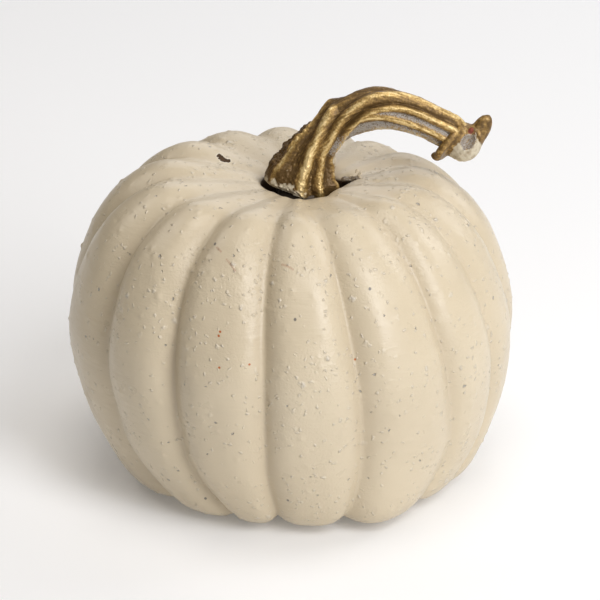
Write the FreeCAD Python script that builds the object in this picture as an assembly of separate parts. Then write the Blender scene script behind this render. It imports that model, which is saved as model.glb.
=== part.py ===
"""A ribbed hollow ceramic pumpkin with a gilded, bent stem: a free-standing table decoration.

Millimetres, +Z up. The object stands on Z = 0 on four felt pads, and its stem bends towards +X.
The origin is under the middle of the ribbed body.
"""
import FreeCAD
import Part

import math
import os
from FreeCAD import Vector

# ---- driving dimensions ----
BODY_RADIUS = 100.8         # over the lobes at the equator
BODY_HEIGHT = 138.5         # lowest to highest point of a lobe
WALL = 5.0                  # fired ceramic
PAD_THICKNESS = 1.5
PAD_RADIUS = 6.0
LOBE_FLAT = 0.5             # how much is ground off the lowest lobes so that pads can stick
LIFT = PAD_THICKNESS - LOBE_FLAT

# ---- ribbed body ----
# The meridian of a lobe, from inside the neck over the crown and the equator to the underside:
# (share of BODY_RADIUS, share of BODY_HEIGHT). Station 0 of the ribs is at RIM_INDEX.
MERIDIAN = (
    (0.194, 0.740), (0.194, 0.880),
    (0.200, 0.964), (0.347, 0.989), (0.482, 1.000), (0.615, 0.988), (0.807, 0.888),
    (0.942, 0.718), (1.000, 0.544), (0.985, 0.386), (0.934, 0.232), (0.862, 0.104),
    (0.775, 0.020), (0.585, 0.000), (0.385, 0.028),
    (0.200, 0.068), (0.040, 0.080),
)
RIM_INDEX = 2
RIB_SPANS = 12              # spans of the meridian that the ribs cover, from the rim to the underside
ROWS_PER_SPAN = 2
COLUMNS_PER_LOBE = 6

# The grooves between lobes: azimuth from the front (-Y) towards +X at mid height,
# lean from crown to base, and bow, all in degrees. Hand-thrown ribs are uneven.
GROOVES = (
    (-164, -1, 0), (-140, -5, 3), (-117, -8, 7), (-90, -12, -4), (-56.5, 8, -2),
    (-31.2, 6.4, 12), (-7.8, -1, -21), (16.3, 13.5, -34), (44.7, 26, 12), (64, 22, -6),
    (83, 10, -6), (107, 8, 0), (131, 10, -2), (152, 5, 0), (174, 2, 0),
)
BASE_PULL = 15.0            # degrees by which the grooves are drawn towards the front under the base
PULL_CENTRE = 5.0           # azimuth they are drawn to
PULL_START, PULL_END = 0.64, 0.84
LEAN = -0.03                # sideways slope of the body about LEAN_HEIGHT
LEAN_HEIGHT = 62.0
GROOVE_DEPTHS = ((0.0, 0.6), (0.2, 2.4), (0.45, 6.0), (0.8, 3.6), (1.0, 2.4), (1.25, 0.0))
GROOVE_SHARPNESS = 2.2      # exponent of the valley between two lobes
INNER_GROOVE_SHARE = 0.7    # the slip evens the ribs out on the inside

# ---- crown and neck ----
CROWN_SHIFT = Vector(5.0, -1.5, 0)      # the crown opening lies off the body's axis
CROWN_SHIFT_REACH = 0.975   # share of BODY_RADIUS where the shift has faded out
NECK_RADIUS = 20.0
NECK_BOTTOM = 106.0
VENT_RADIUS = 6.0

# ---- stem and what holds it ----
PLUG_BOTTOM = 107.0
PLUG_TOP = 119.0
FOOT_HEIGHT = 132.0         # underside of the stem's foot
DOWEL_RADIUS = 4.0
DOWEL_BOTTOM = 104.0
DOWEL_TOP = 143.0
BED_RADIUS = 14.5
BED_LUMPS = 9
BED_TAPER = 0.7             # the bead narrows downwards to this share of its width under the foot
STEM_RIDGES = 8
POLES_PER_RIDGE = 6
RIDGE_HEIGHT = 1.1
# Centreline x and z with the half width across the bend and the half width to the front and back.
STEM_STATIONS = (
    (4.6, FOOT_HEIGHT, 16.6, 12.6),
    (4.2, 136.0, 16.2, 12.0),
    (5.6, 142.0, 13.8, 10.4),
    (8.8, 149.6, 10.3, 9.1),
    (13.8, 155.6, 8.5, 8.3),
    (19.2, 161.2, 8.7, 7.9),
    (25.2, 165.6, 9.0, 7.9),
    (34.2, 169.0, 9.4, 7.8),
    (45.0, 168.4, 8.8, 7.7),
    (55.0, 165.3, 8.1, 7.7),
    (63.0, 161.6, 7.5, 7.6),
    (69.5, 158.2, 7.8, 7.8),
    (72.6, 156.7, 9.8, 8.8),
    (75.0, 155.5, 6.6, 6.2),
)
# The tip: centre, half sizes and turn about Y in degrees of the knob and of the ear beside it.
TIP_KNOB = (Vector(75.8, -1.0, 152.8), Vector(7.9, 7.5, 8.1), 0.0)
TIP_EAR = (Vector(82.9, 0.4, 157.9), Vector(8.4, 2.9, 4.2), -62.0)
PAD_RING_RADIUS = 58.5
PAD_GROOVES = (1, 4, 7, 12)             # each pad is under the lobe that follows this groove


def interpolate(table, value):
    """Straight-line lookup in a short table of (position, amount)."""
    if value <= table[0][0]:
        return table[0][1]
    for (low, start), (high, end) in zip(table, table[1:]):
        if value <= high:
            return start + (end - start) * (value - low) / (high - low)
    return table[-1][1]


def groove_azimuths(share):
    """Azimuths of all grooves, in order, at a share of the way from the crown to the base."""
    along = min(max(share, 0.0), 1.0) - 0.5
    fade = min(max((share - PULL_START) / (PULL_END - PULL_START), 0.0), 1.0)
    pull = BASE_PULL * fade * fade * (3 - 2 * fade)
    azimuths = [azimuth + lean * along + bow * (along * along - 0.05) for azimuth, lean, bow in GROOVES]
    return [azimuth - pull * math.sin(math.radians(azimuth - PULL_CENTRE)) for azimuth in azimuths]


def lobe_columns(share):
    """(azimuth in radians, groove amount 0 to 1) of every column of poles around the body."""
    azimuths = groove_azimuths(share)
    columns = []
    for start, end in zip(azimuths, azimuths[1:] + [azimuths[0] + 360.0]):
        for step in range(COLUMNS_PER_LOBE):
            part = step / COLUMNS_PER_LOBE
            amount = abs(2.0 * part - 1.0) ** GROOVE_SHARPNESS
            columns.append((math.radians(start + (end - start) * part), amount))
    return columns


def meridian_curve():
    curve = Part.BSplineCurve()
    points = [Vector(radius * BODY_RADIUS, 0, LIFT + height * BODY_HEIGHT) for radius, height in MERIDIAN]
    curve.interpolate(Points=points, Parameters=[float(index) for index in range(len(points))])
    return curve


def crown_share(radius, station):
    """How much of the crown's shift applies: all at the neck, none at the equator and below."""
    if station > RIM_INDEX + RIB_SPANS / 2:
        return 0.0
    reach = CROWN_SHIFT_REACH * BODY_RADIUS
    share = (reach - radius) / (reach - NECK_RADIUS)
    return min(max(share, 0.0), 1.0) ** 1.5


def body_rows(first_station, offset, groove_share):
    """Rings of surface poles down the meridian, moved inwards by offset."""
    curve = meridian_curve()
    last_station = len(MERIDIAN) - 1
    steps = int((last_station - first_station) * ROWS_PER_SPAN)
    rows = []
    for step in range(steps + 1):
        station = first_station + step / ROWS_PER_SPAN
        share = (station - RIM_INDEX) / RIB_SPANS
        point = curve.value(station)
        tangent = curve.tangent(station)[0]
        inward = Vector(tangent.z, 0, -tangent.x)
        depth = interpolate(GROOVE_DEPTHS, share) * groove_share if share >= 0 else 0.0
        row = []
        for azimuth, amount in lobe_columns(share):
            moved = point + inward * (offset + depth * amount)
            crown = crown_share(moved.x, station)
            shift = CROWN_SHIFT * crown + Vector(LEAN * (moved.z - LEAN_HEIGHT) * (1 - crown), 0, 0)
            row.append(Vector(moved.x * math.sin(azimuth), -moved.x * math.cos(azimuth), moved.z) + shift)
        rows.append(row)
    return rows


def tube_solid(rows):
    """Smooth closed solid through rings of poles; the first and last rings are flat and get capped."""
    around = len(rows[0])
    down = len(rows)
    poles = [[row[column] for row in rows] for column in range(around)]
    surface = Part.BSplineSurface()
    surface.buildFromPolesMultsKnots(
        poles, [1] * (around + 1), [4] + [1] * (down - 4) + [4],
        [float(knot) for knot in range(around + 1)], [float(knot) for knot in range(down - 2)],
        True, False, 3, 3)
    side = surface.toShape()
    rings = [edge for edge in side.Edges if edge.isClosed() and not edge.isSeam(side)]
    caps = [Part.Face(Part.Wire([ring])) for ring in rings]
    shell = Part.makeShell([side] + caps)
    shell.sewShape()
    solid = Part.makeSolid(shell)
    if solid.Volume < 0:
        solid.reverse()
    return solid


def flat_ends(rows, first_height, last_height):
    """Level the first and last rings so that they can be capped."""
    for point in rows[0]:
        point.z = first_height
    for point in rows[-1]:
        point.z = last_height
    return rows


def neck_cylinder(bottom, top, radius):
    """Upright cylinder on the axis of the crown opening."""
    return Part.makeCylinder(radius, top - bottom, CROWN_SHIFT + Vector(0, 0, bottom))


def make_body_shell():
    """Ribbed shell with a round neck, a cavity, a vent hole below and lobes ground flat for the pads."""
    outer_rows = body_rows(0, 0.0, 1.0)
    outer = tube_solid(flat_ends(outer_rows, outer_rows[0][0].z, outer_rows[-1][0].z))
    inner_rows = body_rows(0.5, WALL, INNER_GROOVE_SHARE)
    inner = tube_solid(flat_ends(inner_rows, NECK_BOTTOM, inner_rows[-1][0].z))
    neck = neck_cylinder(NECK_BOTTOM - WALL, BODY_HEIGHT + WALL, NECK_RADIUS)
    vent = Part.makeCylinder(VENT_RADIUS, 6 * WALL)
    size = 4 * BODY_RADIUS
    ground = Part.makeBox(size, size, size, Vector(-size / 2, -size / 2, PAD_THICKNESS - size))
    return outer.cut(inner).cut(neck).cut(vent).cut(ground)


def stem_rows():
    """Ridged rings along the bent stem; the foot's ring lies level."""
    centres = [Vector(x, 0, z) for x, z, _, _ in STEM_STATIONS]
    path = Part.BSplineCurve()
    path.interpolate(Points=centres, Parameters=[float(index) for index in range(len(centres))])
    rows = []
    back = Vector(0, 1, 0)
    for index, (_, _, half_across, half_deep) in enumerate(STEM_STATIONS):
        tangent = Vector(0, 0, 1) if index == 0 else path.tangent(float(index))[0]
        outward = tangent.cross(back)
        row = []
        for column in range(STEM_RIDGES * POLES_PER_RIDGE):
            angle = 2 * math.pi * column / (STEM_RIDGES * POLES_PER_RIDGE)
            ridge = RIDGE_HEIGHT * math.cos(STEM_RIDGES * angle)
            row.append(centres[index] + outward * ((half_across + ridge) * math.cos(angle))
                       + back * ((half_deep + ridge) * math.sin(angle)))
        rows.append(row)
    return rows


def make_ellipsoid(centre, half_sizes, turn):
    """Ellipsoid turned about the Y axis through its centre."""
    stretch = FreeCAD.Matrix()
    stretch.scale(half_sizes)
    solid = Part.makeSphere(1.0).transformGeometry(stretch)
    solid.rotate(Vector(0, 0, 0), Vector(0, 1, 0), turn)
    solid.translate(centre)
    return solid


def make_stem():
    """Bent ridged stem with a flared foot, a knob and ear at the tip, and a blind hole for the dowel."""
    stem = tube_solid(stem_rows()).fuse([make_ellipsoid(*TIP_KNOB), make_ellipsoid(*TIP_EAR)])
    return stem.cut(neck_cylinder(DOWEL_BOTTOM, DOWEL_TOP, DOWEL_RADIUS))


def make_stem_dowel():
    return neck_cylinder(DOWEL_BOTTOM, DOWEL_TOP, DOWEL_RADIUS)


def make_neck_plug():
    """Round plug that fills the neck around the dowel."""
    plug = neck_cylinder(PLUG_BOTTOM, PLUG_TOP, NECK_RADIUS)
    return plug.cut(neck_cylinder(DOWEL_BOTTOM, DOWEL_TOP, DOWEL_RADIUS))


def bed_outline(height, share):
    """Lumpy oval outline of the putty at a height, at a share of its full width."""
    points = []
    for lump in range(BED_LUMPS):
        angle = 2 * math.pi * lump / BED_LUMPS
        radius = share * (BED_RADIUS + 0.9 * math.sin(2 * angle + 0.6) + 0.5 * math.cos(5 * angle))
        around = Vector(radius * math.cos(angle), 0.8 * radius * math.sin(angle), height)
        points.append(CROWN_SHIFT + around)
    outline = Part.BSplineCurve()
    outline.interpolate(Points=points, PeriodicFlag=True)
    return Part.Wire([outline.toShape()])


def make_stem_bed():
    """Uneven bead of putty between the plug and the stem's foot, narrower at the plug."""
    outlines = [bed_outline(PLUG_TOP, BED_TAPER), bed_outline(FOOT_HEIGHT, 1.0)]
    return Part.makeLoft(outlines, True).cut(neck_cylinder(DOWEL_BOTTOM, DOWEL_TOP, DOWEL_RADIUS))


def make_felt_pad(groove):
    """Round pad under the middle of the lobe that follows a groove."""
    azimuths = groove_azimuths(1.0)
    azimuth = math.radians((azimuths[groove] + (azimuths + [azimuths[0] + 360.0])[groove + 1]) / 2)
    place = Vector(PAD_RING_RADIUS * math.sin(azimuth), -PAD_RING_RADIUS * math.cos(azimuth), 0)
    return Part.makeCylinder(PAD_RADIUS, PAD_THICKNESS, place)


def build():
    nodes = {
        "body_shell": make_body_shell(),
        "stem": make_stem(),
        "stem_dowel": make_stem_dowel(),
        "neck_plug": make_neck_plug(),
        "stem_bed": make_stem_bed(),
    }
    for number, groove in enumerate(PAD_GROOVES, start=1):
        nodes[f"felt_pad_{number}"] = make_felt_pad(groove)
    return nodes


os.makedirs("parts", exist_ok=True)
for name, shape in build().items():
    shape.exportStep(f"parts/{name}.step")
    box = shape.BoundBox
    print(f"{name}: valid {shape.isValid()}, solids {len(shape.Solids)}, volume {shape.Volume:.0f},"
          f" x {box.XMin:.1f}..{box.XMax:.1f} y {box.YMin:.1f}..{box.YMax:.1f}"
          f" z {box.ZMin:.1f}..{box.ZMax:.1f}")
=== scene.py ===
"""Looks of the ceramic pumpkin: a ribbed cream shell and a gilded, ridged stem around the CAD frame."""

import math
import random

import bpy
import numpy as np
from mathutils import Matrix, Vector, noise


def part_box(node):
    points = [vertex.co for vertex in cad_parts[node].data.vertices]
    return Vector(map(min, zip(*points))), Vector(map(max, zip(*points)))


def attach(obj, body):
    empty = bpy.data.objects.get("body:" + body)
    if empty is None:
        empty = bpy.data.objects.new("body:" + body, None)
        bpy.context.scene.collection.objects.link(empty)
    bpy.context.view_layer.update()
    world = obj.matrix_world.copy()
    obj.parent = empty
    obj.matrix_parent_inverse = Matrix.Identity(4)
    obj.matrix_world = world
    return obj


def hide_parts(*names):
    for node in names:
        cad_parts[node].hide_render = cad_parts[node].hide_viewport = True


MM = 0.001
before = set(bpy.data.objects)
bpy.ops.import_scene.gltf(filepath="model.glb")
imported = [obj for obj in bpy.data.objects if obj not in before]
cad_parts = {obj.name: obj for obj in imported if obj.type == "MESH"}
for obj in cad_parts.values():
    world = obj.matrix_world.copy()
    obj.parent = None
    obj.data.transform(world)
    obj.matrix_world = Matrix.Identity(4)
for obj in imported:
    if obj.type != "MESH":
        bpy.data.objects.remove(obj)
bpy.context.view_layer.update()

# ---- places taken from the frame (metres) ----
shell_low, shell_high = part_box("body_shell")
plug_low, plug_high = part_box("neck_plug")
bed_low, bed_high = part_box("stem_bed")
BODY_RADIUS = (shell_high.y - shell_low.y) / 2 + 0.5 * MM
LOBE_BOTTOM = shell_low.z - 0.5 * MM            # the lowest lobes are ground flat by half a millimetre
BODY_HEIGHT = shell_high.z - LOBE_BOTTOM
NECK_AXIS = Vector(((plug_low.x + plug_high.x) / 2, (plug_low.y + plug_high.y) / 2, 0))
NECK_RADIUS = (plug_high.x - plug_low.x) / 2
RIM_HEIGHT = LOBE_BOTTOM + 0.964 * BODY_HEIGHT

# ---- ribbed body ----
# Meridian of a lobe from the neck over crown and equator to the vent: shares of radius and height.
MERIDIAN = (
    (0.196, 0.755), (0.196, 0.880),
    (0.200, 0.964), (0.347, 0.989), (0.482, 1.000), (0.615, 0.988), (0.807, 0.888),
    (0.942, 0.718), (1.000, 0.544), (0.985, 0.386), (0.934, 0.232), (0.862, 0.104),
    (0.775, 0.020), (0.585, 0.000), (0.385, 0.028),
    (0.200, 0.068), (0.060, 0.080),
)
RIM_INDEX = 2
RIB_SPANS = 12
# Azimuth from the front towards +X, lean from crown to base and bow, all in degrees, and the
# relative depth in the upper and in the lower half.
GROOVES = (
    (-164, -1, 0, 1, 1), (-140, -5, 3, 1, 1), (-117, -8, 7, 1, 1), (-90, -12, -4, 1, 1),
    (-56.5, 8, -2, 1, 0.7), (-31.2, 6.4, 12, 1.1, 0.8), (-7.8, -1, -21, 1.05, 0.9),
    (16.3, 13.5, -34, 1, 1), (44.7, 26, 12, 0.95, 0.5), (64, 22, -6, 0.6, 0.6),
    (83, 10, -6, 0.9, 0.9), (107, 8, 0, 1, 1), (131, 10, -2, 1, 1), (152, 5, 0, 1, 1),
    (174, 2, 0, 1, 1),
)
GROOVE_DEPTHS = (                # share of the way from crown to base, depth in mm
    (0.0, 0.3), (0.12, 1.1), (0.22, 3.3), (0.32, 5.0), (0.45, 6.4), (0.62, 6.4),
    (0.8, 5.0), (1.0, 3.0), (1.25, 0.0))
GROOVE_SHARPNESS = (1.7, 3.0)   # exponent of the valley at the crown and from mid height down
GROOVE_FLOOR = (0.28, 0.05)     # rounding of the valley floor there, as a share of half a lobe
BASE_PULL = 15                  # degrees by which the grooves are drawn to the front under the base
PULL_CENTRE = 5                 # azimuth they are drawn to
PULL_RANGE = (0.64, 0.84)
LEAN = -0.03                    # sideways slope of the body about its lower middle
LEAN_CENTRE = 62 * MM
DENTS = (((46, 50), 24, 2.4), ((-52, 48), 24, -1.2))   # hollows and swells of the crown (mm)
BASE_SWELL = ((37, -80, 6), 21, 7.5)   # the lobe low at the front right stands out: place, reach, push
# The crown opening isn't round: azimuth, spread in degrees and change of radius in mm.
NECK_WAVES = ((58, 26, -3.6), (97, 7, 5.5), (118, 16, -3.4), (-48, 32, -3.2))
NECK_WAVE_REACH = 13 * MM
# Torn rim beside the stem's foot: ellipsoids in mm (centre, half sizes, turn about Y), clay and paint.
TORN_CLAY = (((25.0, 0.6, 135.2), (3.0, 1.5, 0.8), -8), ((28.2, 0.2, 135.8), (2.6, 1.0, 0.7), 10),
             ((23.2, 0.0, 135.6), (1.3, 1.5, 1.0), 30), ((30.0, -0.8, 136.0), (1.8, 0.8, 0.6), -5))
TORN_PAINT = (((28.8, 1.0, 139.0), (0.6, 0.6, 1.3), -25), ((30.1, 0.8, 137.6), (0.6, 0.7, 1.5), -40),
              ((30.6, 0.2, 136.1), (0.7, 0.8, 1.0), 10), ((27.0, 1.2, 136.8), (1.9, 0.6, 0.5), 12),
              ((31.4, -2.4, 135.6), (1.5, 0.9, 0.8), 15))
TORN_BOX = ((18, -4, 132), (35, 8, 143))     # the torn rim lies inside this box
TORN_STEP = 0.33
WALL = 5.0 * MM
INNER_GROOVE_SHARE = 0.7
COLUMNS_PER_LOBE = 40
OUTER_ROWS = 290
INNER_ROWS = 30
PIMPLES = 900
FINE_STEPS = 2000               # samples of a curve when its length is measured

# ---- stem: x, z, half width across the bend, half width front to back (mm, over the ridges) ----
STEM_STATIONS = (
    (4.6, 132.0, 17.4, 13.4), (4.2, 136.0, 17.3, 13.0), (5.6, 142.0, 14.8, 11.4),
    (8.8, 149.6, 11.2, 10.0), (13.8, 155.6, 9.4, 9.2), (19.2, 161.2, 9.6, 8.8),
    (25.2, 165.6, 10.0, 8.8), (34.2, 169.0, 10.5, 8.7), (45.0, 168.4, 9.8, 8.6),
    (55.0, 165.3, 9.0, 8.6), (63.0, 161.6, 8.5, 8.5), (69.5, 158.2, 8.5, 8.5),
    (74.0, 155.9, 6.5, 6.0),
)
# Crest angle at the foot and past the bend, height and half width in mm, and where along the stem
# the ridge begins and ends. Angles go round the stem: 0 is the outside of the bend, -90 the front,
# 180 the inside.
RIDGES = (
    (-34, 72, 1.6, 3.0, 0, 40), (-88, 36, 2.9, 4.2, 0, 39), (-127, -19, 2.5, 3.9, 0, 99),
    (-165, -64, 2.3, 3.0, 0, 99), (-97, -105, 2.2, 3.6, 45, 99), (-215, -142, 1.7, 3.6, 0, 99),
    (-252, -178, 1.6, 3.8, 0, 99), (-288, -214, 1.7, 3.8, 0, 99), (-325, -251, 1.6, 3.8, 0, 99),
)
STEP_DROP = 0.65                # share of its height that a ridge loses where it ends
# A swelling before the front ridge ends and a saddle after it: place (mm along, angle), reach, height.
STEM_SWELLS = (((39.0, 8), 3.2, 1.5), ((46.0, 22), 5.0, -0.8))
WEB = (3.6, 20.0, 5.5, 13)      # web inside the bend: height, mm along the stem, reach, half angle
TWIST = (15.0, 66.0)            # mm along the stem between which the ridges wind round it
BARK_END = 27.0                 # the torn outer layer of the foot reaches this far up
FOOT_LIFT = 4.3                 # the foot's underside rises by this much on the left
FOOT_DROP = 1.4                 # and the whole underside is this much lower
RIDGE_LEVEL = 1.9               # height over the valleys at which the half widths are given
SHAFT_RADIUS = 8.5              # mean radius, which turns angles into distances
STEM_ROWS = 380
STEM_COLUMNS = 232
# Parts of the torn tip in mm. The lip is a disc: centre, normal, radius, half thickness. The rest are
# ellipsoids: centre, half sizes, turn about Y.
LIP = ((70.6, -0.6, 153.3), (0.72, -0.42, -0.55), 10.3, 1.7)
LIP_CURL = ((63.6, -1.4, 147.0), (2.0, 2.2, 1.7), 0)
KNOB = ((75.8, -1.0, 152.8), (7.9, 7.5, 8.1), 0)
EAR = ((82.9, 0.4, 157.9), (8.6, 2.9, 4.2), 62)
TIP_RIDGES = (((80.5, -6.2, 157.2), (3.8, 1.2, 1.1), 82), ((79.0, -7.4, 152.9), (3.4, 1.2, 1.0), 50))
HOLLOW = ((77.6, -8.6, 156.3), (3.9, 3.6, 2.6), 52)
POCKET = ((79.6, -5.0, 160.5), (1.9, 2.6, 1.1), 30)
EAR_DISH = ((84.8, -5.2, 160.8), (5.4, 3.4, 2.9), 62)
TIP_BOX = ((58, -16, 138), (94, 14, 170))    # the tip lies inside this box
TIP_STEP = 0.42
BELLY_SLOPE = 0.438             # the pale underside of the knob reaches higher towards the front


def smooth_curve(values, at):
    """Natural cubic spline through evenly spaced values, read at positions counted in values."""
    values = np.asarray(values, float)
    count = len(values)
    system = np.eye(count)
    bends = np.zeros_like(values)
    for i in range(1, count - 1):
        system[i, i - 1:i + 2] = (1, 4, 1)
        bends[i] = 6 * (values[i + 1] - 2 * values[i] + values[i - 1])
    second = np.linalg.solve(system, bends)
    low = np.clip(np.floor(at).astype(int), 0, count - 2)
    b = at - low
    a = 1 - b
    shape = (len(at),) + (1,) * (values.ndim - 1)
    a, b = a.reshape(shape), b.reshape(shape)
    return (a * values[low] + b * values[low + 1]
            + ((a ** 3 - a) * second[low] + (b ** 3 - b) * second[low + 1]) / 6)


def angle_from(angles, centre):
    """Signed degrees from centre, from -180 to 180."""
    return (angles - centre + 180) % 360 - 180


def smooth_step(low, high, value):
    share = np.clip((value - low) / (high - low), 0, 1)
    return share * share * (3 - 2 * share)


def between(first, second, share):
    return first + (second - first) * share


def lumps(points, size, seed):
    """Smooth noise from -1 to 1 at points, with lumps of about a size in metres."""
    shift = Vector((seed * 13.7, seed * 7.1, seed * 3.3))
    flat = (np.asarray(points) / size).reshape(-1, 3)
    values = [noise.noise(Vector(point) + shift) for point in flat]
    return np.array(values).reshape(np.asarray(points).shape[:-1])


def directions(curve, stations):
    """Unit vectors along a curve, which is a function of stations."""
    ahead = curve(stations + 0.01) - curve(stations - 0.01)
    return ahead / np.linalg.norm(ahead, axis=1, keepdims=True)


def evenly_spaced(curve, first, last, count):
    """Distances along a curve, evenly spaced from one station to another, and the stations there."""
    fine = np.linspace(first, last, FINE_STEPS)
    steps = np.linalg.norm(np.diff(curve(fine), axis=0), axis=1)
    length = np.insert(np.cumsum(steps), 0, 0)
    distances = np.linspace(0, length[-1], count)
    return distances, np.interp(distances, length, fine)


def grid_normals(points):
    """Outward normals of a grid whose columns run round the object."""
    around = np.roll(points, -1, 1) - np.roll(points, 1, 1)
    normals = np.cross(np.gradient(points, axis=0), around)
    return normals / np.maximum(np.linalg.norm(normals, axis=-1, keepdims=True), 1e-12)


def new_mesh_object(name, vertices, faces):
    mesh = bpy.data.meshes.new(name)
    mesh.from_pydata(vertices, [], faces)
    mesh.validate()
    mesh.polygons.foreach_set("use_smooth", [True] * len(mesh.polygons))
    mesh.update()
    piece = bpy.data.objects.new(name, mesh)
    bpy.context.scene.collection.objects.link(piece)
    return piece


def grid_faces(rows, columns, close_rows):
    """Quads of a grid whose columns close round; the rows close too on a ring-shaped surface."""
    row = np.arange(rows if close_rows else rows - 1)[:, None]
    column = np.arange(columns)[None, :]
    next_row, next_column = (row + 1) % rows, (column + 1) % columns
    corners = [row * columns + column, next_row * columns + column,
               next_row * columns + next_column, row * columns + next_column]
    return np.stack([np.broadcast_to(c, corners[2].shape) for c in corners], -1).reshape(-1, 4).tolist()


def tube_faces(rows, columns):
    """Faces of a tube whose ends close on two more vertices: the foot's centre, then the top's."""
    foot, top_row = rows * columns, (rows - 1) * columns
    faces = grid_faces(rows, columns, False)
    faces += [(foot, (c + 1) % columns, c) for c in range(columns)]
    faces += [(foot + 1, top_row + c, top_row + (c + 1) % columns) for c in range(columns)]
    return faces


def moved_faces(faces, count):
    """The same faces on vertices that follow count others."""
    return [[corner + count for corner in face] for face in faces]


def add_attribute(piece, name, values):
    attribute = piece.data.attributes.new(name, "FLOAT", "POINT")
    attribute.data.foreach_set("value", np.asarray(values, np.float32).ravel())


# ---------------- body

def groove_azimuths(share):
    along = np.clip(share, 0, 1) - 0.5
    pull = BASE_PULL * smooth_step(*PULL_RANGE, share)
    azimuths = [a + lean * along + bow * (along * along - 0.05) for a, lean, bow, _, _ in GROOVES]
    return [math.radians(a - pull * math.sin(math.radians(a - PULL_CENTRE))) for a in azimuths]


def lobe_columns(share):
    """Azimuth of each column and how deep in a groove it is, from 0 on a lobe to 1 in a valley."""
    starts = np.array(groove_azimuths(share))
    ends = np.append(starts[1:], starts[0] + 2 * math.pi)
    part = np.arange(COLUMNS_PER_LOBE) / COLUMNS_PER_LOBE
    azimuth = (starts[:, None] + (ends - starts)[:, None] * part).ravel()
    apart = np.minimum(part, 1 - part) * 2
    fullness = smooth_step(0.1, 0.4, share)
    floor = between(*GROOVE_FLOOR, fullness)
    sharpness = between(*GROOVE_SHARPNESS, fullness)
    rounded = np.sqrt(apart ** 2 + floor ** 2) - floor
    amount = (1 - rounded / rounded.max()) ** sharpness
    upper, lower = np.array(GROOVES)[:, 3:].T
    strength = between(upper, lower, smooth_step(0.3, 0.75, share))
    either = np.where(part < 0.5, strength[:, None], np.roll(strength, -1)[:, None])
    return azimuth, (amount * either).ravel()


def meridian_point(stations):
    """(radius, height) down the meridian, in metres."""
    shares = smooth_curve(MERIDIAN, stations)
    return shares * (BODY_RADIUS, BODY_HEIGHT) + (0, LOBE_BOTTOM)


def rib_share(station):
    """Share of the way from the crown's rim to the base, negative inside the neck."""
    return (station - RIM_INDEX) / RIB_SPANS


def groove_depth(share):
    """Depth in mm of the grooves, which don't reach into the neck."""
    return np.interp(share, *zip(*GROOVE_DEPTHS)) if share >= 0 else 0


def crown_share(radius, station):
    """How far a point takes part in the crown's shift: 1 at the neck, 0 from the shoulder down."""
    if station > RIM_INDEX + RIB_SPANS / 2:
        return 0 * radius
    reach = 0.975 * BODY_RADIUS
    return np.clip((reach - radius) / (reach - NECK_RADIUS), 0, 1) ** 1.5


def neck_wave(azimuth):
    """Change of the opening's radius in mm at an azimuth in radians."""
    degrees = np.degrees(azimuth)
    return sum(change * np.exp(-(angle_from(degrees, centre) / spread) ** 2)
               for centre, spread, change in NECK_WAVES)


def body_grid(stations, offset, groove_share):
    """Points of the ribbed surface, moved inwards by offset."""
    points = meridian_point(stations)
    tangents = directions(meridian_point, stations)
    rows = []
    for station, (radius, height), (along, drop) in zip(stations, points, tangents):
        share = rib_share(station)
        azimuth, amount = lobe_columns(share)
        inward = offset + groove_depth(share) * MM * groove_share * amount
        radii = radius + drop * inward
        heights = height - along * inward
        near_neck = np.clip(1 - (radii - NECK_RADIUS) / NECK_WAVE_REACH, 0, 1)
        radii = radii + neck_wave(azimuth) * near_neck ** 2 * MM
        shift = crown_share(radii, station)
        slope = LEAN * (heights - LEAN_CENTRE) * (1 - shift)
        rows.append(np.stack([radii * np.sin(azimuth) + NECK_AXIS.x * shift + slope,
                              -radii * np.cos(azimuth) + NECK_AXIS.y * shift, heights], -1))
    return np.array(rows)


def valley_shade(stations):
    """How far each vertex lies down in a groove, from 0 to 1, with a little all over the base: the mask of
    the painted shade in the grooves and towards the base.
    """
    deepest = max(depth for _, depth in GROOVE_DEPTHS)
    rows = []
    for station in stations:
        share = rib_share(station)
        deep = groove_depth(share) / deepest
        low = 0.3 * smooth_step(0.62, 0.86, share)
        rows.append(low + (1 - low) * lobe_columns(share)[1] ** 1.5 * deep)
    return np.array(rows)


def raise_spots(points, normals, spots, rng):
    """Push the surface out in small round pimples, or in where the height is negative."""
    rows, columns = points.shape[:2]
    lift = np.zeros((rows, columns))
    for row, column, radius, height in spots:
        across = np.linalg.norm(points[row, (column + 1) % columns] - points[row, column])
        reach = int(radius / max(across, 0.2 * MM)) + 2
        near_rows = np.arange(max(row - 3, 0), min(row + 4, rows))
        near_columns = np.arange(column - reach, column + reach + 1) % columns
        window = np.ix_(near_rows, near_columns)
        centre = points[row, column] + np.array([rng.uniform(-0.4, 0.4) * MM for _ in range(3)])
        apart = np.linalg.norm(points[window] - centre, axis=-1)
        lift[window] += height * np.clip(1 - (apart / radius) ** 2, 0, 1) ** 2
    return points + normals * lift[..., None]


def scatter_spots(points, count, rng):
    """Pimples and a few pits in loose clusters over the outside of the shell."""
    rows, columns = points.shape[:2]
    spots = []
    while len(spots) < count:
        row = rng.randrange(40, rows - 20)
        column = rng.randrange(columns)
        place = Vector(points[row, column])
        from_axis = math.hypot(place.x, place.y)
        crowd = noise.noise(place / 0.028 + Vector((5, 1, 9)))
        if rng.random() * BODY_RADIUS > from_axis or rng.random() > 0.30 + 1.6 * max(crowd, 0):
            continue
        radius = rng.uniform(1.2, 2.0) * MM
        height = rng.uniform(0.22, 0.62) * MM
        spots.append((row, column, radius, height if rng.random() < 0.85 else -0.6 * height))
    return spots


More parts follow.
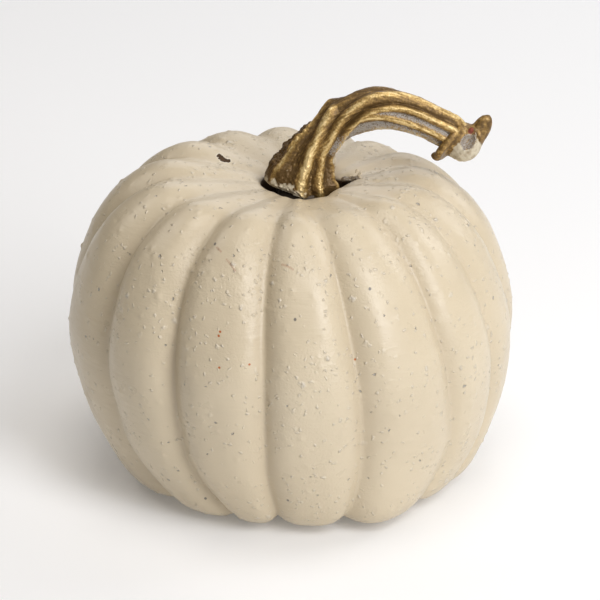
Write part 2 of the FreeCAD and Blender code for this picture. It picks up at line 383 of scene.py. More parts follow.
def body_outside(stations):
    """Outside of the shell with its low swell, its dents and wobble, and its pimples."""
    outer = body_grid(stations, 0, 1.0)
    place, reach, push = BASE_SWELL
    swell = push * np.exp(-(np.linalg.norm(outer / MM - place, axis=-1) / reach) ** 2)
    away = np.linalg.norm(outer[..., :2], axis=-1)
    outer[..., :2] += outer[..., :2] * (swell * MM / np.maximum(away, MM))[..., None]
    normals = grid_normals(outer)
    wobble = 0.9 * lumps(outer, 55 * MM, 1) + 0.35 * lumps(outer, 17 * MM, 2)
    wobble = wobble + 0.10 * lumps(outer, 5 * MM, 3)
    for (x, y), reach, depth in DENTS:
        away = np.hypot(outer[..., 0] / MM - x, outer[..., 1] / MM - y) / reach
        wobble = wobble - depth * np.exp(-away ** 2) * (outer[..., 2] > LEAN_CENTRE)
    flatness = smooth_step(LOBE_BOTTOM + 2 * MM, LOBE_BOTTOM + 12 * MM, outer[..., 2])
    outer = outer + normals * (wobble * flatness * MM)[..., None]
    rng = random.Random(11)
    outer = raise_spots(outer, normals, scatter_spots(outer, PIMPLES, rng), rng)
    outer[..., 2] = np.maximum(outer[..., 2], shell_low.z)
    return outer


def nearest_part(points, shapes):
    return np.min([ellipsoid(points, shape) for shape in shapes], axis=0)


def torn_field(points):
    return nearest_part(points, TORN_CLAY + TORN_PAINT)


def torn_rim():
    """Torn edge beside the stem's foot: vertices in mm, faces, and how far they show bare clay."""
    vertices, faces = surface_net(torn_field, *TORN_BOX, TORN_STEP)
    clay = nearest_part(vertices, TORN_PAINT) - nearest_part(vertices, TORN_CLAY)
    vertices = vertices + 0.25 * lumps(vertices, 0.9, 12)[:, None]
    return vertices, faces, 0.75 * smooth_step(-0.1, 0.1, clay)


def make_body_shell():
    """Closed ring-shaped grid, down the outside and back up the inside, and the torn rim."""
    _, stations = evenly_spaced(meridian_point, 0.1, len(MERIDIAN) - 1.0, OUTER_ROWS)
    _, inner_stations = evenly_spaced(meridian_point, 0.4, len(MERIDIAN) - 1.2, INNER_ROWS)
    outer = body_outside(stations)
    inner = body_grid(inner_stations, WALL, INNER_GROOVE_SHARE)
    points = np.concatenate([outer, inner[::-1]])
    # valley: mask of the painted shade in the grooves and low on the body
    valley = np.concatenate([valley_shade(stations), np.zeros(inner.shape[:2])]).ravel()
    # inside: mask of painted shadow down the neck and over the inner wall; the torn rim adds its bare clay
    from_neck = np.linalg.norm(outer[..., :2] - NECK_AXIS.xy, axis=-1)
    below_rim = 1 - smooth_step(-1.6 * MM, -0.4 * MM, outer[..., 2] - RIM_HEIGHT)
    inside = below_rim * (from_neck < 1.5 * NECK_RADIUS)
    inside = np.concatenate([inside.ravel(), np.ones(inner[..., 0].size)])
    torn, torn_faces, torn_clay = torn_rim()
    vertices = np.concatenate([points.reshape(-1, 3), torn * MM])
    faces = grid_faces(*points.shape[:2], True) + moved_faces(torn_faces, points[..., 0].size)
    piece = new_mesh_object("pumpkin_shell", vertices, faces)
    add_attribute(piece, "valley", np.append(valley, np.zeros(len(torn))))
    add_attribute(piece, "inside", np.append(inside, torn_clay))
    add_finish(piece, cream_paint())
    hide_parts("body_shell")


# ---------------- stem

def stem_axis(stations):
    """(x, z) of the stem's centre line, in mm."""
    return smooth_curve(STEM_STATIONS, stations)[:, :2]


def facing(angles, centre, spread, power=2):
    """1 where an angle round the stem faces centre, and falling to 0 beyond the spread in degrees."""
    return np.exp(-(angle_from(angles, centre) / spread) ** power)


def hill(along, angles, place, reach, stretch):
    """A hill of height 1 on the stem's surface; place is (mm along, angle), reach in mm."""
    across = angle_from(angles, place[1]) * math.pi / 180 * SHAFT_RADIUS
    return np.exp(-(((along - place[0]) / stretch[0]) ** 2 + (across / stretch[1]) ** 2) / reach ** 2)


def ridges_at(along, angles, size):
    """Height in mm over the valleys and closeness to a crest, round the stem at one distance along it."""
    linear = np.clip((along - TWIST[0]) / (TWIST[1] - TWIST[0]), 0, 1)
    turn = (linear + smooth_step(0, 1, linear)) / 2
    height = np.zeros_like(angles)
    crest = np.zeros_like(angles)
    for foot, past, tall, width, first, last in RIDGES:
        shown = smooth_step(first - 3, first + 3, along) if first else 1
        shown *= 1 - STEP_DROP * smooth_step(last - 2.0, last + 1.5, along)
        apart = np.radians(angle_from(angles, foot + (past - foot) * turn)) * size / width
        profile = np.clip(1 - np.abs(apart) ** 1.5, 0, 1)
        height = np.maximum(height, tall * shown * profile)
        crest = np.maximum(crest, shown * profile ** 2.2)
    return height, crest


def foot_shape(along, angles, rough):
    """Change of radius in mm at the foot: torn bark on the left and root nodules at the front."""
    side = angle_from(angles, 0)
    bark = smooth_step(-34, -14, side + 10 * rough) * (1 - smooth_step(70, 110, side))
    ragged_end = smooth_step(BARK_END - 0.8, BARK_END + 0.8, along + 2 * rough)
    bark *= smooth_step(5, 9, along) * (1 - ragged_end)
    rib = 1.6 * facing(angles, -86, 19, 4) * (1 - smooth_step(8, 28, along))
    nodules = 1.1 * rough * hill(along, angles, (3.0, -84), 3.6, (1.0, 2.2))
    toe = -1.2 * (1 - smooth_step(0, 2.5, along)) * facing(angles, -10, 70)
    swells = sum(height * hill(along, angles, place, reach, (1.3, 1.2))
                 for place, reach, height in STEM_SWELLS)
    swells = swells + WEB[0] * web_share(along, angles)
    return bark * (0.5 + 1.3 * rough) + rib + nodules + toe + swells, bark


def web_share(along, angles):
    """Thin web of primer across the inside of the bend."""
    _, place, reach, half_angle = WEB
    return np.exp(-(angle_from(angles, 180) / half_angle) ** 2 - ((along - place) / reach) ** 2)


def stem_masks(along, angles, crest, rough):
    """Where bare primer and pale crust show on the shaft; its third mask, the red fleck, is empty."""
    inside = facing(angles, -158, 40, 4) * smooth_step(20, 28, along)
    groove = facing(angles, -87, 11) * smooth_step(47, 56, along)
    primer = np.clip(inside * (1 - 0.5 * crest) + groove * (1 - crest) ** 1.5, 0, 1)
    crust = (1 - smooth_step(3.0, 5.0, along + 2.0 * rough)) * facing(angles, -50, 42, 4)
    crust = np.maximum(crust, 1.3 * web_share(along, angles) ** 0.5)
    return primer, crust, np.zeros_like(angles)


def stem_gold(along, angles, crest, streak, bark, heel):
    """How much gold the brush left: most on crests and the front, less on bark, torn and inner sides."""
    inner = facing(angles, -170, 34) * (1 - smooth_step(22, 40, along))
    front = facing(angles, -92, 15, 4) * (1 - smooth_step(20, 34, along))
    torn = facing(angles, 14, 20) * smooth_step(39.5, 41, along)
    torn *= 1 - smooth_step(48, 54, along)
    gold = 0.95 * crest + 0.36 * streak + 0.45 * front
    return gold - (0.32 * bark + 0.25 * inner + 0.45 * torn + 0.30 * heel)


def stem_row(along, station, ahead):
    """One ring of points round the stem, in mm, and its four masks."""
    x, z, across, deep = station
    right, up = ahead
    angles = np.arange(STEM_COLUMNS) * 360 / STEM_COLUMNS
    turn = np.radians(angles)
    ring = np.stack([np.cos(turn), np.sin(turn)], -1)
    height, crest = ridges_at(along, angles, (across + deep) / 2)
    heel = (1 - smooth_step(3, 13, along)) * facing(angles, -48, 42, 4)
    height = between(height, RIDGE_LEVEL, heel)
    place = np.concatenate([ring * (across + deep) / 2, np.full((STEM_COLUMNS, 1), along)], 1)
    rough = 0.6 * lumps(place, 2.4, 3) + 0.6 * lumps(place, 1.1, 8)
    streak = lumps(place / (1, 1, 12), 0.8, 4) + 0.7 * lumps(place / (1, 1, 9), 0.4, 5)
    radius = 1 / np.sqrt((ring[:, 0] / across) ** 2 + (ring[:, 1] / deep) ** 2)
    foot, bark = foot_shape(along, angles, rough)
    radius += height - RIDGE_LEVEL + 0.24 * streak + 0.14 * rough + foot
    points = np.outer(radius * ring[:, 0], (-up, 0, right)) + np.outer(radius * ring[:, 1], (0, 1, 0))
    points += (x, 0, z)
    lift = FOOT_LIFT * smooth_step(-12, 14, x - points[:, 0]) - FOOT_DROP
    points[:, 2] += lift * (1 - smooth_step(0, 14, along))
    gold = stem_gold(along, angles, crest, streak, bark, heel)
    return points, np.stack([gold, *stem_masks(along, angles, crest, rough)])


def stem_shaft():
    """Swept grid with twisting ridges and a flared foot: vertices, faces and masks."""
    distances, stations = evenly_spaced(stem_axis, 0, len(STEM_STATIONS) - 1, STEM_ROWS)
    ahead = directions(stem_axis, stations)
    upright = 1 - smooth_step(0, 10, distances)[:, None]
    ahead = ahead * (1 - upright) + np.array([0, 1]) * upright
    ahead /= np.linalg.norm(ahead, axis=1, keepdims=True)
    rows = map(stem_row, distances, smooth_curve(STEM_STATIONS, stations), ahead)
    points, marks = map(np.array, zip(*rows))
    vertices = np.concatenate([points.reshape(-1, 3), [points[0].mean(0), points[-1].mean(0)]])
    marks = marks.transpose(1, 0, 2).reshape(4, -1)
    return vertices, tube_faces(STEM_ROWS, STEM_COLUMNS), np.concatenate([marks, np.zeros((4, 2))], 1)


def ellipsoid(points, shape):
    """Distance in mm to an ellipsoid's surface, negative inside."""
    centre, reach, turn = shape
    c, s = math.cos(math.radians(turn)), math.sin(math.radians(turn))
    away = (points - centre) @ np.array([[c, 0, -s], [0, 1, 0], [s, 0, c]])
    first = np.linalg.norm(away / reach, axis=-1)
    second = np.linalg.norm(away / np.square(reach), axis=-1)
    return first * (first - 1) / np.maximum(second, 1e-6)


def disc(points, shape):
    """Distance in mm to a round-edged disc, negative inside."""
    centre, normal, radius, half = shape
    away = points - centre
    height = away @ np.array(normal)
    across = np.sqrt(np.maximum((away ** 2).sum(-1) - height ** 2, 0))
    return np.hypot(np.maximum(across - radius + half, 0), height) - half


def merge(first, second, blend):
    """Union of two distance fields with a rounded joint."""
    share = np.clip(0.5 + 0.5 * (second - first) / blend, 0, 1)
    return second * (1 - share) + first * share - blend * share * (1 - share)


def lip_field(points):
    return merge(disc(points, LIP), ellipsoid(points, LIP_CURL), 1.0)


def tip_field(points):
    solid = merge(ellipsoid(points, KNOB), ellipsoid(points, EAR), 2.4)
    for ridge in TIP_RIDGES:
        solid = merge(solid, ellipsoid(points, ridge), 0.7)
    solid = merge(solid, lip_field(points), 3.4)
    for hole, blend in ((HOLLOW, 0.7), (POCKET, 0.5), (EAR_DISH, 1.6)):
        solid = -merge(-solid, ellipsoid(points, hole), blend)
    return solid


def surface_net(field, low, high, step):
    """Vertices and quads of the surface where field is zero, inside the box from low to high."""
    axes = [np.arange(a, b, step) for a, b in zip(low, high)]
    values = field(np.stack(np.meshgrid(*axes, indexing="ij"), -1))
    cells = np.array(values.shape) - 1
    total, count = np.zeros((*cells, 3)), np.zeros(cells)
    crossings = []
    for axis in range(3):
        ahead = np.roll(values, -1, axis)
        crossed = (values < 0) != (ahead < 0)
        crossed[tuple(slice(-1, None) if i == axis else slice(None) for i in range(3))] = False
        share = np.where(crossed, values / np.where(crossed, values - ahead, 1), 0)
        crossings.append(crossed)
        others = [i for i in range(3) if i != axis]
        for a in (0, 1):
            for b in (0, 1):
                start = np.zeros(3, int)
                start[others[0]], start[others[1]] = a, b
                window = tuple(slice(o, o + c) for o, c in zip(start, cells))
                spot = np.zeros((*cells, 3)) + start
                spot[..., axis] += share[window]
                total += spot * crossed[window][..., None]
                count += crossed[window]
    used = count > 0
    index = np.cumsum(used.ravel()).reshape(used.shape) - 1
    vertices = (np.argwhere(used) + total[used] / count[used][:, None]) * step + np.array(low)
    faces = []
    for axis in range(3):
        first, second = np.eye(3, dtype=int)[(axis + 1) % 3], np.eye(3, dtype=int)[(axis + 2) % 3]
        for spot in np.argwhere(crossings[axis]):
            corners = [tuple(spot - d) for d in (0 * first, first, first + second, second)]
            quad = [int(index[corner]) for corner in corners]
            faces.append(quad[::-1] if values[tuple(spot)] > 0 else quad)
    return vertices, faces


def stem_tip():
    """Torn end of the stem: a lip, a hollowed knob and an ear. Vertices, faces and masks."""
    vertices, faces = surface_net(tip_field, *TIP_BOX, TIP_STEP)
    knob, ear = ellipsoid(vertices, KNOB), ellipsoid(vertices, EAR)
    lip = lip_field(vertices)
    rough = lumps(vertices, 1.6, 6)
    hollow = 1 - smooth_step(0.2, 0.9, np.abs(ellipsoid(vertices, HOLLOW)))
    fleck = (1 - smooth_step(0.1, 0.8, ellipsoid(vertices, POCKET))) * (0.8 + 0.8 * rough)
    ridge = 1 - smooth_step(-0.1, 0.5, nearest_part(vertices, TIP_RIDGES))
    low = 1 - smooth_step(-3.0, 2.0, vertices[:, 2] + BELLY_SLOPE * vertices[:, 1] - KNOB[0][2])
    belly = smooth_step(0.2, 2.4, np.minimum(lip - 0.6, ear) - knob) * (0.3 + 1.2 * low)
    pale = np.maximum(belly, 0.9 * ridge) * (1 - 0.9 * hollow) + 0.2 * rough
    rim = smooth_step(8.8, 10.2, np.linalg.norm(vertices - LIP[0], axis=1)) * (lip < ear)
    gold = 0.26 + 0.42 * rough + 0.16 * rim + 0.25 * lumps(vertices / (1, 1, 3), 0.9, 9)
    # The tip's hollow loses its pale paint and gets the grey of bare primer: partly bare primer, partly
    # painted shade in the hollow.
    masks = np.stack([gold, 0.8 * hollow, pale, fleck])
    return vertices + 0.2 * rough[:, None], faces, masks


def make_stem():
    """Shaft and torn tip as one piece."""
    shaft, shaft_faces, shaft_masks = stem_shaft()
    tip, tip_faces, tip_masks = stem_tip()
    faces = shaft_faces + moved_faces(tip_faces, len(shaft))
    piece = new_mesh_object("gilded_stem", np.concatenate([shaft, tip]) * MM, faces)
    masks = np.concatenate([shaft_masks, tip_masks], 1)
    for name, values in zip(("crest", "primer", "pale", "fleck"), masks):
        add_attribute(piece, name, values)
    add_finish(piece, gilding())
    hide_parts("stem")


# ---------------- hidden parts

def revolved(name, centre, profile, columns, roughness, seed):
    """Closed solid of revolution from (radius, height) pairs in mm, with a lumpy surface."""
    turn = np.arange(columns) * 2 * math.pi / columns
    radii, heights = np.array(profile).T
    ring = np.stack([np.cos(turn), np.sin(turn)], -1)
    levels = np.repeat(heights[:, None], columns, 1)[..., None]
    grid = np.concatenate([radii[:, None, None] * ring, levels], -1)
    bumps = 1 + roughness * lumps(grid, 3.0, seed)
    grid[..., :2] *= bumps[..., None]
    vertices = np.concatenate([grid.reshape(-1, 3), [(0, 0, heights[0]), (0, 0, heights[-1])]]) * MM
    return new_mesh_object(name, vertices + np.array(centre), tube_faces(len(profile), columns))


def make_stem_bed():
    """Lump of putty between the plug and the stem's foot."""
    centre = ((bed_low.x + bed_high.x) / 2, (bed_low.y + bed_high.y) / 2, bed_low.z)
    radius, tall = (bed_high.x - bed_low.x) / 2 / MM, (bed_high.z - bed_low.z) / MM
    profile = [(0.60 * radius, 0), (0.97 * radius, 0), (radius, 0.05 * tall), (0.97 * radius, 0.2 * tall),
               (0.86 * radius, 0.42 * tall), (0.78 * radius, 0.64 * tall), (0.74 * radius, 0.84 * tall),
               (0.72 * radius, tall), (0.40 * radius, tall)]
    piece = revolved("putty_bed", centre, profile, 64, 0.05, 7)
    add_finish(piece, putty_in_painted_shadow())
    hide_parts("stem_bed")


def make_felt_pads():
    """Felt discs with softly rounded edges under the lobes."""
    material = felt()
    for number in range(1, 5):
        low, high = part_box(f"felt_pad_{number}")
        centre = ((low.x + high.x) / 2, (low.y + high.y) / 2, low.z)
        radius, tall = (high.x - low.x) / 2 / MM, (high.z - low.z) / MM
        profile = [(0.5 * radius, 0), (0.94 * radius, 0), (0.99 * radius, 0.2 * tall), (radius, 0.5 * tall),
                   (0.99 * radius, 0.8 * tall), (0.94 * radius, tall), (0.5 * radius, tall)]
        piece = revolved(f"felt_pad_disc_{number}", centre, profile, 48, 0.012, number)
        add_finish(piece, material)
        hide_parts(f"felt_pad_{number}")


# ---------------- materials

def new_material(name):
    material = bpy.data.materials.new(name)
    material.use_nodes = True
    shader = material.node_tree.nodes["Principled BSDF"]
    return material, material.node_tree, shader


class Nodes:
    """Short calls for the shader nodes that the materials use."""

    def __init__(self, tree):
        self.tree = tree

    def make(self, kind, **settings):
        node = self.tree.nodes.new(kind)
        for name, value in settings.items():
            setattr(node, name, value)
        return node

    def put(self, value, socket):
        if isinstance(value, bpy.types.NodeSocket):
            self.tree.links.new(value, socket)
        elif isinstance(value, tuple) and len(socket.default_value) == 4:
            socket.default_value = (*value, 1)
        else:
            socket.default_value = value

    def object_place(self):
        return self.make("ShaderNodeTexCoord").outputs["Object"]

    def attribute(self, name):
        return self.make("ShaderNodeAttribute", attribute_name=name).outputs["Fac"]

    def noise(self, place, scale, detail, output="Fac"):
        node = self.make("ShaderNodeTexNoise")
        self.put(place, node.inputs["Vector"])
        self.put(scale, node.inputs["Scale"])
        self.put(detail, node.inputs["Detail"])
        return node.outputs[output]

    def jitter(self, place, scale, reach):
        """The place moved about by up to half of reach, so that round marks turn ragged."""
        shift = self.vector("SUBTRACT", self.noise(place, scale, 2, "Color"), (0.5, 0.5, 0.5))
        return self.vector("ADD", place, self.vector("MULTIPLY", shift, (reach, reach, reach)))

    def dots(self, place, scale):
        """Distance to the nearest of scattered points, and a random colour for each point."""
        node = self.make("ShaderNodeTexVoronoi")
        self.put(place, node.inputs["Vector"])
        self.put(scale, node.inputs["Scale"])
        return node.outputs["Distance"], node.outputs["Color"]

    def vector(self, operation, first, second):
        node = self.make("ShaderNodeVectorMath", operation=operation)
        self.put(first, node.inputs[0])
        self.put(second, node.inputs[1])
        return node.outputs[0]

    def length(self, vector):
        node = self.make("ShaderNodeVectorMath", operation="LENGTH")
        self.put(vector, node.inputs[0])
        return node.outputs["Value"]

    def separate_y(self, vector):
        node = self.make("ShaderNodeSeparateXYZ")
        self.put(vector, node.inputs[0])
        return node.outputs[1]

    def math(self, operation, first, second):
        node = self.make("ShaderNodeMath", operation=operation)
        self.put(first, node.inputs[0])
        self.put(second, node.inputs[1])
        return node.outputs[0]

    def add(self, first, second):
        return self.math("ADD", first, second)

    def times(self, first, second):
        return self.math("MULTIPLY", first, second)

    def spread(self, value, low, high):
        """Map 0..1 to low..high."""
        return self.remap(value, 0, 1, low, high, "LINEAR")

    def threshold(self, value, low, high):
        """0 below low, 1 above high, smooth between."""
        return self.remap(value, low, high, 0, 1, "SMOOTHSTEP")

    def remap(self, value, from_low, from_high, low, high, kind):
        node = self.make("ShaderNodeMapRange", interpolation_type=kind)
        for socket, number in zip(node.inputs[:5], (value, from_low, from_high, low, high)):
            self.put(number, socket)
        return node.outputs[0]

    def mix(self, share, first, second):
        node = self.make("ShaderNodeMix", data_type="RGBA")
        self.put(share, node.inputs[0])
        self.put(first, node.inputs[6])
        self.put(second, node.inputs[7])
        return node.outputs[2]

    def mix_value(self, share, first, second):
        node = self.make("ShaderNodeMix", data_type="FLOAT")
        self.put(share, node.inputs[0])
        self.put(first, node.inputs[2])
        self.put(second, node.inputs[3])
        return node.outputs[0]

    def ramp(self, value, stops):
        node = self.make("ShaderNodeValToRGB")
        self.put(value, node.inputs[0])
        elements = node.color_ramp.elements
        while len(elements) < len(stops):
            elements.new(0.5)
        for element, (position, colour) in zip(elements, stops):
            element.position = position
            element.color = (*colour, 1)
        return node.outputs[0]

    def bump(self, shader, height, strength, distance):
        node = self.make("ShaderNodeBump")
        self.put(height, node.inputs["Height"])
        self.put(strength, node.inputs["Strength"])
        self.put(distance, node.inputs["Distance"])
        self.put(node.outputs[0], shader.inputs["Normal"])


CREAM = ((0.585, 0.49, 0.345), (0.685, 0.586, 0.422))       # darker and lighter clouds of the paint
# painted shade of the grooves and the lower body
VALLEY_PAINTED_SHADE = (0.36, 0.28, 0.18)
# bare clay at the torn rim, and painted shadow inside the neck
CLAY_AND_NECK_SHADOW = (0.06, 0.035, 0.02)
# painted highlight on the pimples' tops
PIMPLE_PAINTED_HIGHLIGHT = (0.80, 0.79, 0.76)
# painted shade in the pinholes
PINHOLE_PAINTED_SHADE = (0.27, 0.28, 0.30)
RUST = (0.45, 0.13, 0.03)
STAIN = (0.12, 0.11, 0.105)
SCRATCH = (0.40, 0.20, 0.12)
CHIP_RIM = (0.74, 0.66, 0.52)
CHIP_CLAY = ((0.02, 0.01, 0.004), (0.11, 0.06, 0.025))
GOLD_STOPS = (
    (0.0, (0.125, 0.070, 0.020)), (0.30, (0.230, 0.136, 0.041)), (0.55, (0.35, 0.215, 0.067)),
    (0.78, (0.54, 0.365, 0.132)), (1.0, (0.76, 0.57, 0.27)),
)
BARE_PRIMER = (0.42, 0.39, 0.35)
STAINED_PRIMER = ((0.43, 0.35, 0.24), (0.60, 0.53, 0.39))
RED_STAIN = ((0.10, 0.03, 0.015), (0.36, 0.08, 0.045))

# Spots on the shell in mm: a chip in the crown, dark specks, pinholes that show the clay, and scratches.
CHIP = ((-32.5, 21.2, 138.5), (-31.9, 19.6, 138.2), (-31.0, 18.2, 137.9), (-29.9, 17.3, 137.6),
        (-28.7, 17.2, 137.6))
STAINS = ((-49.9, -9.5, 138.7), (-48.9, -9.5, 138.7), (-50.0, -7.8, 138.2), (-49.0, -7.8, 138.2),
          (-62.8, -62.0, 22.5), (-37.5, -75.5, 15.4), (-1.5, -87.9, 21.0), (1.7, -91.1, 107.9),
          (-32.3, -64.2, 131.0), (33.2, -79.4, 116.8))
PINHOLES = ((-29.8, -89.6, 101.6), (-30.2, -93.8, 87.2), (-17.5, -97.7, 88.6), (-30.4, -90.0, 99.9),
            (27.0, -90.0, 88.0))
SCRATCHES = (((-31.5, -66.6, 130), (-29.6, -69.4, 129)), ((-27.2, -73.0, 126), (-23.6, -77.4, 124)),
             ((-3.8, -77.0, 127), (0.8, -79.6, 125)))
SCRATCH_STEPS = 7               # a scratch is this many short steps from end to end


def nearest(nodes, place, points, weights):
    """Distance in metres to the nearest of a few points, each axis weighted."""
    best = None
    for point in points:
        away = nodes.vector("SUBTRACT", place, tuple(value * MM for value in point))
        apart = nodes.length(nodes.vector("MULTIPLY", away, weights))
        best = apart if best is None else nodes.math("MINIMUM", best, apart)
    return best


def cream_paint():
    """Hand-painted satin cream over fine grit: pimples, pinholes, brush marks and one chip."""
    material, tree, shader = new_material("cream_paint")
    nodes = Nodes(tree)
    place = nodes.object_place()
    colour = nodes.mix(nodes.noise(place, 22, 3), *CREAM)
    # Painted shade: the grooves and the lower body darkened towards brown-grey.
    colour = nodes.mix(nodes.times(nodes.attribute("valley"), 0.30), colour, VALLEY_PAINTED_SHADE)
    # Bare clay at the torn rim, and painted shadow: the inside of the neck and the inner wall darkened
    # nearly to black.
    colour = nodes.mix(nodes.attribute("inside"), colour, CLAY_AND_NECK_SHADOW)
    crowd = nodes.threshold(nodes.noise(place, 34, 2), 0.40, 0.62)
    colour, pimple, pinhole = paint_texture(nodes, place, colour, crowd)
    colour, chip = paint_marks(nodes, place, colour)
    tree.links.new(colour, shader.inputs["Base Color"])

    satin = nodes.spread(nodes.noise(place, 110, 4), 0.18, 0.46)
    tree.links.new(nodes.mix_value(chip, satin, 1.0), shader.inputs["Roughness"])
    shader.inputs["Specular IOR Level"].default_value = 0.5
    grit = nodes.times(nodes.noise(place, 1000, 3), nodes.spread(crowd, 0.10, 0.55))
    strokes = nodes.noise(nodes.vector("MULTIPLY", place, (1, 1, 7)), 90, 3)
    height = nodes.add(pimple, nodes.times(nodes.add(pinhole, chip), -1.2))
    height = nodes.add(height, nodes.add(grit, nodes.times(strokes, 0.4)))
    nodes.bump(shader, height, 1.0, 0.45 * MM)
    return material


def paint_texture(nodes, place, colour, crowd):
    """Fine and wide pimples in crowds with a painted highlight on their tops, and pinholes with painted
    shade: the new colour, and masks of both.
    """
    ragged = nodes.jitter(place, 420, 3.0 * MM)
    apart, kind = nodes.dots(ragged, 330)
    chosen = nodes.threshold(nodes.add(kind, nodes.times(crowd, 0.34)), 0.64, 0.66)
    pimple = nodes.times(nodes.threshold(apart, 0.34, 0.0), chosen)
    wide, blister = nodes.dots(ragged, 150)
    crest = nodes.times(nodes.threshold(wide, 0.26, 0.0), nodes.threshold(blister, 0.62, 0.64))
    pimple = nodes.add(pimple, nodes.times(crest, nodes.spread(crowd, 0.4, 1.6)))
    # Painted highlight: the pimples' tops lightened towards white.
    colour = nodes.mix(nodes.times(pimple, 0.22), colour, PIMPLE_PAINTED_HIGHLIGHT)
    far, other = nodes.dots(ragged, 170)
    pinhole = nodes.times(nodes.threshold(far, 0.13, 0.06), nodes.threshold(other, 0.68, 0.70))
    # Painted shade: the pinholes greyed.
    return nodes.mix(nodes.times(pinhole, 0.55), colour, PINHOLE_PAINTED_SHADE), pimple, pinhole


def paint_marks(nodes, place, colour):
    """Rusty pinholes, dark stains, scratches and the chip: the new colour, and a mask of the chip."""
    outside = nodes.threshold(nodes.separate_y(place), -0.05, -0.06)
    rust = nodes.threshold(nearest(nodes, place, PINHOLES, (1, 0.04, 1)), 0.65 * MM, 0.35 * MM)
    colour = nodes.mix(nodes.times(rust, outside), colour, RUST)
    stain = nodes.threshold(nearest(nodes, place, STAINS, (1, 0.7, 0.9)), 0.80 * MM, 0.40 * MM)
    colour = nodes.mix(nodes.times(stain, 0.85), colour, STAIN)
    lines = [Vector(first).lerp(Vector(last), step / SCRATCH_STEPS)
             for first, last in SCRATCHES for step in range(SCRATCH_STEPS + 1)]
    scratch = nodes.threshold(nearest(nodes, place, lines, (1, 1, 0.1)), 0.55 * MM, 0.20 * MM)
    colour = nodes.mix(nodes.times(scratch, 0.5), colour, SCRATCH)
    uneven = nodes.spread(nodes.noise(place, 700, 3), -0.9 * MM, 0.9 * MM)
    edge = nodes.add(nearest(nodes, place, CHIP, (1, 0.7, 0.15)), uneven)
    colour = nodes.mix(nodes.threshold(edge, 1.9 * MM, 1.4 * MM), colour, CHIP_RIM)
    chip = nodes.threshold(edge, 1.30 * MM, 1.05 * MM)
    clay = nodes.mix(nodes.noise(place, 500, 2), *CHIP_CLAY)
    return nodes.mix(chip, colour, clay), chip


def putty_in_painted_shadow():
    """Grey-brown putty darkened as painted shadow in the neck under the stem's foot, with a dusty, crumbly
    surface.
    """
    return plain_grain("putty_in_painted_shadow", (0.06, 0.045, 0.03), (0.12, 0.095, 0.07), 260, 0.85, 0.4 * MM)


def felt():
    """Brown felt: short matted fibres."""
    material = plain_grain("felt", (0.10, 0.075, 0.055), (0.19, 0.145, 0.11), 1500, 0.95, 0.3 * MM)
    shader = material.node_tree.nodes["Principled BSDF"]
    shader.inputs["Sheen Weight"].default_value = 0.4
    return material


def plaster_in_painted_shadow():
    """Plaster darkened nearly to black as painted shadow in the neck, rough and blotchy."""
    return plain_grain("plaster_in_painted_shadow", (0.02, 0.013, 0.008), (0.05, 0.035, 0.022), 180, 0.9, 0.5 * MM)


def plain_grain(name, dark, light, scale, roughness, depth):
    """Matt material with a fine grain over broad blotches, both between a dark and a light colour."""
    material, tree, shader = new_material(name)
    nodes = Nodes(tree)
    place = nodes.object_place()
    broad = nodes.noise(place, scale / 5, 3)
    grain = nodes.noise(place, scale, 4)
    blotches = nodes.times(nodes.add(broad, grain), 0.5)
    tree.links.new(nodes.mix(blotches, dark, light), shader.inputs["Base Color"])
    tree.links.new(nodes.spread(grain, roughness - 0.1, roughness), shader.inputs["Roughness"])
    nodes.bump(shader, grain, 0.7, depth)
    return material


def dowel_wood():
    """Pale beech with fine grain running along the dowel."""
    material, tree, shader = new_material("dowel_wood")
    nodes = Nodes(tree)
    place = nodes.vector("MULTIPLY", nodes.object_place(), (1, 1, 0.08))
    grain = nodes.noise(place, 900, 4)
    flecks = nodes.threshold(nodes.noise(place, 2400, 2), 0.58, 0.70)
    colour = nodes.mix(grain, (0.42, 0.27, 0.15), (0.62, 0.45, 0.28))
    colour = nodes.mix(nodes.times(flecks, 0.5), colour, (0.25, 0.14, 0.07))
    tree.links.new(colour, shader.inputs["Base Color"])
    tree.links.new(nodes.spread(grain, 0.55, 0.75), shader.inputs["Roughness"])
    nodes.bump(shader, grain, 0.4, 0.2 * MM)
    return material


def gilding():
    """Dry-brushed gold on the ridges, bronze in the valleys, pale primer where the brush didn't reach."""
    material, tree, shader = new_material("gilding")
    nodes = Nodes(tree)
    place = nodes.object_place()
    brush = nodes.noise(place, 450, 5)
    grain = nodes.noise(place, 1300, 2)
    gold = nodes.add(nodes.attribute("crest"), nodes.spread(brush, -0.48, 0.45))
    gold = nodes.add(gold, nodes.spread(grain, -0.50, 0.50))
    colour = nodes.ramp(gold, GOLD_STOPS)
    speckle = nodes.spread(nodes.noise(place, 1900, 2), -1.9, 3.9)
    bare = nodes.threshold(nodes.times(nodes.attribute("primer"), speckle), 0.20, 0.80)
    colour = nodes.mix(nodes.times(bare, 0.85), colour, BARE_PRIMER)
    pale = nodes.add(nodes.attribute("pale"), nodes.spread(brush, -0.9, 0.9))
    patch = nodes.threshold(pale, 0.25, 0.85)
    stained = nodes.mix(nodes.threshold(brush, 0.32, 0.58), *STAINED_PRIMER)
    colour = nodes.mix(patch, colour, stained)
    red = nodes.threshold(nodes.attribute("fleck"), 0.35, 0.6)
    colour = nodes.mix(red, colour, nodes.mix(brush, *RED_STAIN))
    tree.links.new(colour, shader.inputs["Base Color"])
    metal = nodes.spread(nodes.threshold(gold, 0.1, 0.8), 0.40, 0.50)
    cover = nodes.math("MAXIMUM", bare, patch)
    tree.links.new(nodes.mix_value(cover, metal, 0.0), shader.inputs["Metallic"])
    satin = nodes.spread(brush, 0.30, 0.56)
    tree.links.new(nodes.mix_value(cover, satin, 0.75), shader.inputs["Roughness"])
    nodes.bump(shader, nodes.add(nodes.times(grain, 0.5), brush), 0.6, 0.4 * MM)
    return material


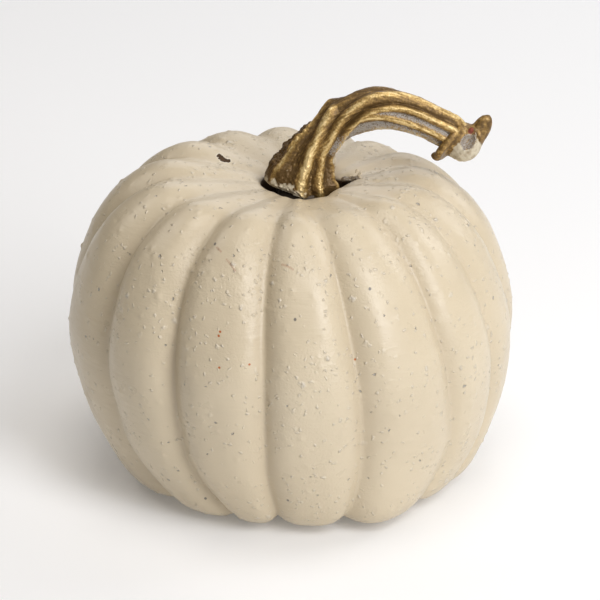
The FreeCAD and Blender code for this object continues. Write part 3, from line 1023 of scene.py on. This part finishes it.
def add_finish(piece, material):
    piece.data.materials.append(material)
    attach(piece, "root")


# ---------------- stage, light and camera

ELEVATION = math.radians(23.65)
CAMERA_DISTANCE = 1.300
FIELD_WIDTH = 0.2709            # what the frame spans at the object's axis
AIM = Vector((3.75 * MM, -1.1 * MM, 77.4 * MM))
LIGHT_DISTANCE = 1.7
SENSOR_WIDTH = 36               # mm
WARM = (1.05, 0.99, 0.92)
COOL = (0.985, 0.995, 1.03)
# Name, azimuth, elevation, (width, height) in metres, watts, colour.
LIGHTS = (
    ("key", 40, 33, (0.65, 1.7), 24.0, COOL),
    ("front", 0, 50, (0.8, 0.8), 3.3, WARM),
    ("right", 115, 32, (0.8, 0.8), 6.1, COOL),
    ("left", -120, 45, (0.8, 0.8), 3.7, WARM),
    ("top", 0, 88, (0.8, 0.8), 7.0, WARM),
    ("back", 168, 30, (1.6, 1.2), 6.9, COOL),
)
FLOOR_REACH = 6                 # metres from the object to the floor's edges


def area_light(name, azimuth, elevation, size, power, colour):
    """Soft light aimed at the object; azimuth 0 is the camera's side and 90 is +X."""
    data = bpy.data.lights.new(name, "AREA")
    data.shape = "RECTANGLE"
    data.size, data.size_y = size
    data.energy = power
    data.color = colour
    light = bpy.data.objects.new(name, data)
    a, e = math.radians(azimuth), math.radians(elevation)
    away = Vector((math.sin(a) * math.cos(e), -math.cos(a) * math.cos(e), math.sin(e)))
    light.location = AIM + away * LIGHT_DISTANCE
    light.rotation_euler = away.to_track_quat("Z", "Y").to_euler()
    bpy.context.scene.collection.objects.link(light)


def make_stage():
    """Plain pale floor."""
    corners = [(x * FLOOR_REACH, y * FLOOR_REACH, 0) for x, y in ((-1, -1), (1, -1), (1, 1), (-1, 1))]
    floor = new_mesh_object("floor", corners, [(0, 1, 2, 3)])
    material, _, shader = new_material("pale_floor")
    shader.inputs["Base Color"].default_value = (0.86, 0.86, 0.86, 1)
    shader.inputs["Roughness"].default_value = 0.9
    shader.inputs["Specular IOR Level"].default_value = 0.1
    shader.inputs["Emission Color"].default_value = (1, 1, 1, 1)
    shader.inputs["Emission Strength"].default_value = 0.12
    floor.data.materials.append(material)


def make_light():
    """Soft studio lights and a faint white surrounding."""
    world = bpy.data.worlds.new("studio")
    world.use_nodes = True
    background = world.node_tree.nodes["Background"]
    background.inputs["Color"].default_value = (1, 1, 1, 1)
    background.inputs["Strength"].default_value = 0.04
    bpy.context.scene.world = world
    for light in LIGHTS:
        area_light(*light)
    bpy.context.scene.view_settings.view_transform = "Standard"


def make_camera():
    """Camera at the front, looking down at the object."""
    data = bpy.data.cameras.new("camera")
    data.sensor_width = SENSOR_WIDTH
    data.lens = SENSOR_WIDTH * CAMERA_DISTANCE / FIELD_WIDTH
    camera = bpy.data.objects.new("camera", data)
    away = Vector((0, -math.cos(ELEVATION), math.sin(ELEVATION)))
    camera.location = AIM + away * CAMERA_DISTANCE
    camera.rotation_euler = (-away).to_track_quat("-Z", "Y").to_euler()
    bpy.context.scene.collection.objects.link(camera)
    bpy.context.scene.camera = camera


make_body_shell()
make_stem()
make_stem_bed()
make_felt_pads()
for node, finish in (("stem_dowel", dowel_wood), ("neck_plug", plaster_in_painted_shadow)):
    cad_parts[node].data.materials.clear()
    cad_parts[node].data.materials.append(finish())
make_stage()
make_light()
make_camera()
